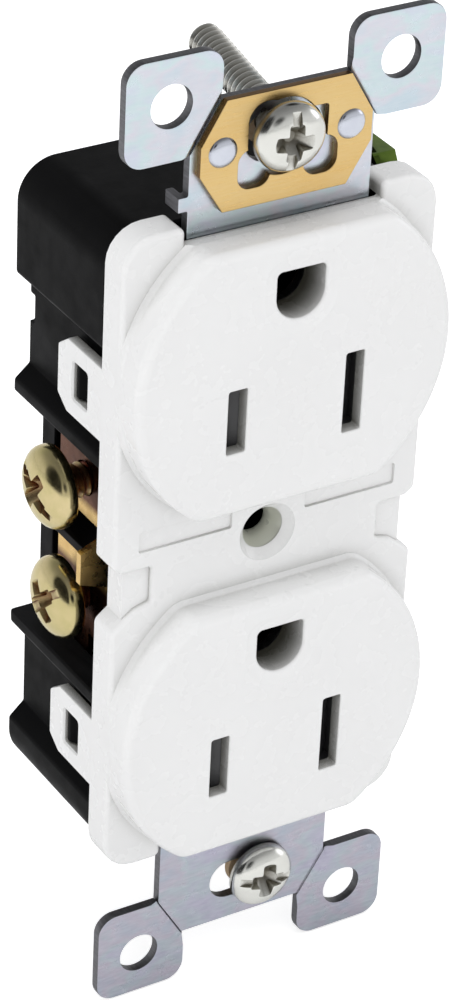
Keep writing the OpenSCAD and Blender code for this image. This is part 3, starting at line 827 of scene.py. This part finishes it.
def set_screw(node, obj, seat, outward):
    """Seats a screw at seat, in mm, with its head pointing outward."""
    turn = Vector(outward).to_track_quat("Z", "Y").to_matrix().to_4x4()
    obj.data.transform(Matrix.Translation(Vector(seat) * MM) @ turn)
    return finish_piece(obj, node)


def build_screws():
    for node, outward, turn in (("hot_screw_upper", -1, -34), ("hot_screw_lower", -1, 43),
            ("neutral_screw_upper", 1, 20), ("neutral_screw_lower", 1, -50)):
        low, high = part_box(node)
        r = (high.z - low.z) / 2 / MM
        length = (high.x - low.x) / MM - TERMINAL_HEAD_H
        seat = (low.x / MM + TERMINAL_HEAD_H) if outward < 0 else (high.x / MM - TERMINAL_HEAD_H)
        middle = (low + high) / 2 / MM
        piece = screw(f"screw_{node}", r, TERMINAL_HEAD_H, length, turn)
        set_screw(node, piece, (seat, middle.y, middle.z), (outward, 0, 0))
    low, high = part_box("bottom_mounting_screw")
    middle = (low + high) / 2 / MM
    length = (high.y - low.y) / MM - MOUNT_HEAD_H
    r = (high.z - low.z) / 2 / MM
    piece = screw("box_screw_bottom", r, MOUNT_HEAD_H, length, -8)
    set_screw("bottom_mounting_screw", piece, (middle.x, low.y / MM + MOUNT_HEAD_H, middle.z), (0, -1, 0))
    piece = screw("box_screw_top", r, MOUNT_HEAD_H, length, 88)
    set_screw("top_mounting_screw", piece, TOP_SEAT, Vector(JOINTS["top_screw_feed"]["axis"]) * TOP_FEED_SIGN)


def build_rivets():
    front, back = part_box("grounding_clip")[0].y / MM, STRAP_T
    dome = [(0.42, 1.15), (0.4, 0.85), (0.33, 0.5), (0.22, 0.24), (0.1, 0.07), (0, 0)]
    profile = [(front - rise, inset) for rise, inset in dome] + [(front, 0.6), (back, 0.6)]
    profile += [(back + rise, inset) for rise, inset in reversed(dome)]
    mesh = bmesh.new()
    for side in (-1, 1):
        rivet = solid(circle(RIVET_R, 40), profile, shift=(side * RIVET_AT[0], RIVET_AT[1]))
        mesh.from_mesh(rivet.data)
        bpy.data.objects.remove(rivet)
    data = bpy.data.meshes.new("rivets")
    mesh.to_mesh(data)
    mesh.free()
    return finish_piece(shade(add_object("rivet_heads", data), 40), "clip_rivets")


def coil(name, x0, x1, y, z, r, wire, turns):
    """Closed spring along X, in mm."""
    steps, sides = int(turns * 22), 8
    verts, faces = [], []
    for i in range(steps + 1):
        t = i / steps
        a = 2 * math.pi * turns * t
        x = x0 + wire + (x1 - x0 - 2 * wire) * t
        centre = Vector((x, y + r * math.cos(a), z + r * math.sin(a)))
        out = Vector((0, math.cos(a), math.sin(a)))
        lean = Vector((1, 0, 0))
        for k in range(sides):
            b = 2 * math.pi * k / sides
            verts.append((centre + (out * math.cos(b) + lean * math.sin(b)) * wire) * MM)
    for i in range(steps):
        for k in range(sides):
            m = (k + 1) % sides
            faces.append((i * sides + k, i * sides + m, (i + 1) * sides + m, (i + 1) * sides + k))
    faces.append(tuple(range(sides)))
    faces.append(tuple(steps * sides + k for k in reversed(range(sides))))
    return add_object(name, mesh_from(name, verts, faces))


def build_springs():
    for which in ("upper", "lower"):
        node = f"shutter_spring_{which}"
        low, high = (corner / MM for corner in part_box(node))
        middle = (low + high) / 2
        r = (high.z - low.z) / 2 - 0.17
        piece = finish_piece(coil(f"coil_{which}", low.x, high.x, middle.y, middle.z, r, 0.16, 9), node)
        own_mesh(piece)


for make in (build_cover, build_body, build_strap, build_clip, build_screws, build_rivets, build_springs):
    make()
for name in NODES:
    if not NODES[name].hide_render:
        smooth_cad(name, 0.06)


# ------------------------------------------------------ camera and light


def camera():
    data = bpy.data.cameras.new("camera")
    data.lens = CAMERA_LENS
    data.sensor_width = 36
    data.clip_start = 0.01
    obj = add_object("camera", data)
    obj.matrix_world = Matrix.Translation(CAMERA_AT) @ aim(CAMERA_YAW, CAMERA_PITCH, CAMERA_ROLL)
    bpy.context.scene.camera = obj


def softbox(name, place, yaw, pitch, width, height, power):
    data = bpy.data.lights.new(name, "AREA")
    data.shape = "RECTANGLE"
    data.size, data.size_y = width, height
    data.energy = power
    obj = add_object(name, data)
    obj.matrix_world = Matrix.Translation(place) @ aim(yaw, pitch)
    obj.visible_glossy = False


def world():
    """Studio surround: even light for matt surfaces, and darker patches that only reflections see."""
    data = bpy.data.worlds.new("studio")
    bpy.context.scene.world = data
    data.use_nodes = True
    tree = data.node_tree
    new, link = tree.nodes.new, tree.links.new
    background = tree.nodes["Background"]
    place = new("ShaderNodeTexCoord").outputs["Generated"]
    split = new("ShaderNodeSeparateXYZ")
    link(place, split.inputs[0])

    def ramp(stops):
        node = new("ShaderNodeValToRGB")
        link(split.outputs["Z"], node.inputs["Fac"])
        while len(node.color_ramp.elements) < len(stops):
            node.color_ramp.elements.new(0.5)
        for element, (at, grey) in zip(node.color_ramp.elements, stops):
            element.position = at
            element.color = (grey, grey * 1.005, grey * 1.02, 1)
        return node.outputs["Color"]

    def mix(amount, first, second):
        node = new("ShaderNodeMix")
        node.data_type = "RGBA"
        link(amount, node.inputs[0])
        link(first, node.inputs[6])
        if isinstance(second, tuple):
            node.inputs[7].default_value = second
        else:
            link(second, node.inputs[7])
        return node.outputs[2]

    seen = ramp([(0.0, 0.9), (0.1, 0.95), (0.3, 0.8), (0.6, 0.42), (1.0, 0.25)])
    for direction, wide, grey in CARDS:
        dot = new("ShaderNodeVectorMath")
        dot.operation = "DOT_PRODUCT"
        link(place, dot.inputs[0])
        dot.inputs[1].default_value = Vector(direction).normalized()
        near = new("ShaderNodeMapRange")
        link(dot.outputs["Value"], near.inputs["Value"])
        near.inputs["From Min"].default_value = math.cos(math.radians(wide + 3))
        near.inputs["From Max"].default_value = math.cos(math.radians(wide - 3))
        seen = mix(near.outputs["Result"], seen, (grey, grey, grey * 1.05, 1))
    even = ramp([(0.0, 0.72), (0.2, 0.72), (1.0, 1.0)])
    path = new("ShaderNodeLightPath")
    light = mix(path.outputs["Is Glossy Ray"], even, seen)
    link(mix(path.outputs["Is Camera Ray"], light, (1.5, 1.5, 1.5, 1)), background.inputs["Color"])
    background.inputs["Strength"].default_value = WORLD_LIGHT


def floor():
    """Pale paper floor, plain white to the camera."""
    size, top = 8.0, CAD_BOX[0].z - 0.2 * MM
    corners = [(-size, -size, top), (size, -size, top), (size, size, top), (-size, size, top)]
    obj = add_object("floor", mesh_from("floor", corners, [(0, 1, 2, 3)]))
    f = Finish("floor_paper")
    path = f.tree.nodes.new("ShaderNodeLightPath")
    paper = f.mix(f.noise(40, 2), (0.9, 0.9, 0.9), (0.94, 0.94, 0.94))
    glow = f.between(path.outputs["Is Camera Ray"], FLOOR_GLOW, 0.6)
    f.set(Base_Color=paper, Roughness=0.7, Emission_Color=(1, 1, 1), Emission_Strength=glow)
    obj.data.materials.append(f.mat)


camera()
world()
floor()
softbox("key", (-0.3, -0.8, 0.3), -20, -20, 0.7, 0.7, 1.15)
softbox("fill", (0.6, -0.5, 0.3), 50, -20, 0.4, 0.6, 0.7)
softbox("top", (-0.08, -0.18, 0.75), 0, -78, 0.5, 0.5, 1.3)
softbox("side", (-0.7, 0.05, 0.15), -90, -12, 0.5, 0.5, 1.0)
bpy.context.scene.view_settings.view_transform = "Standard"
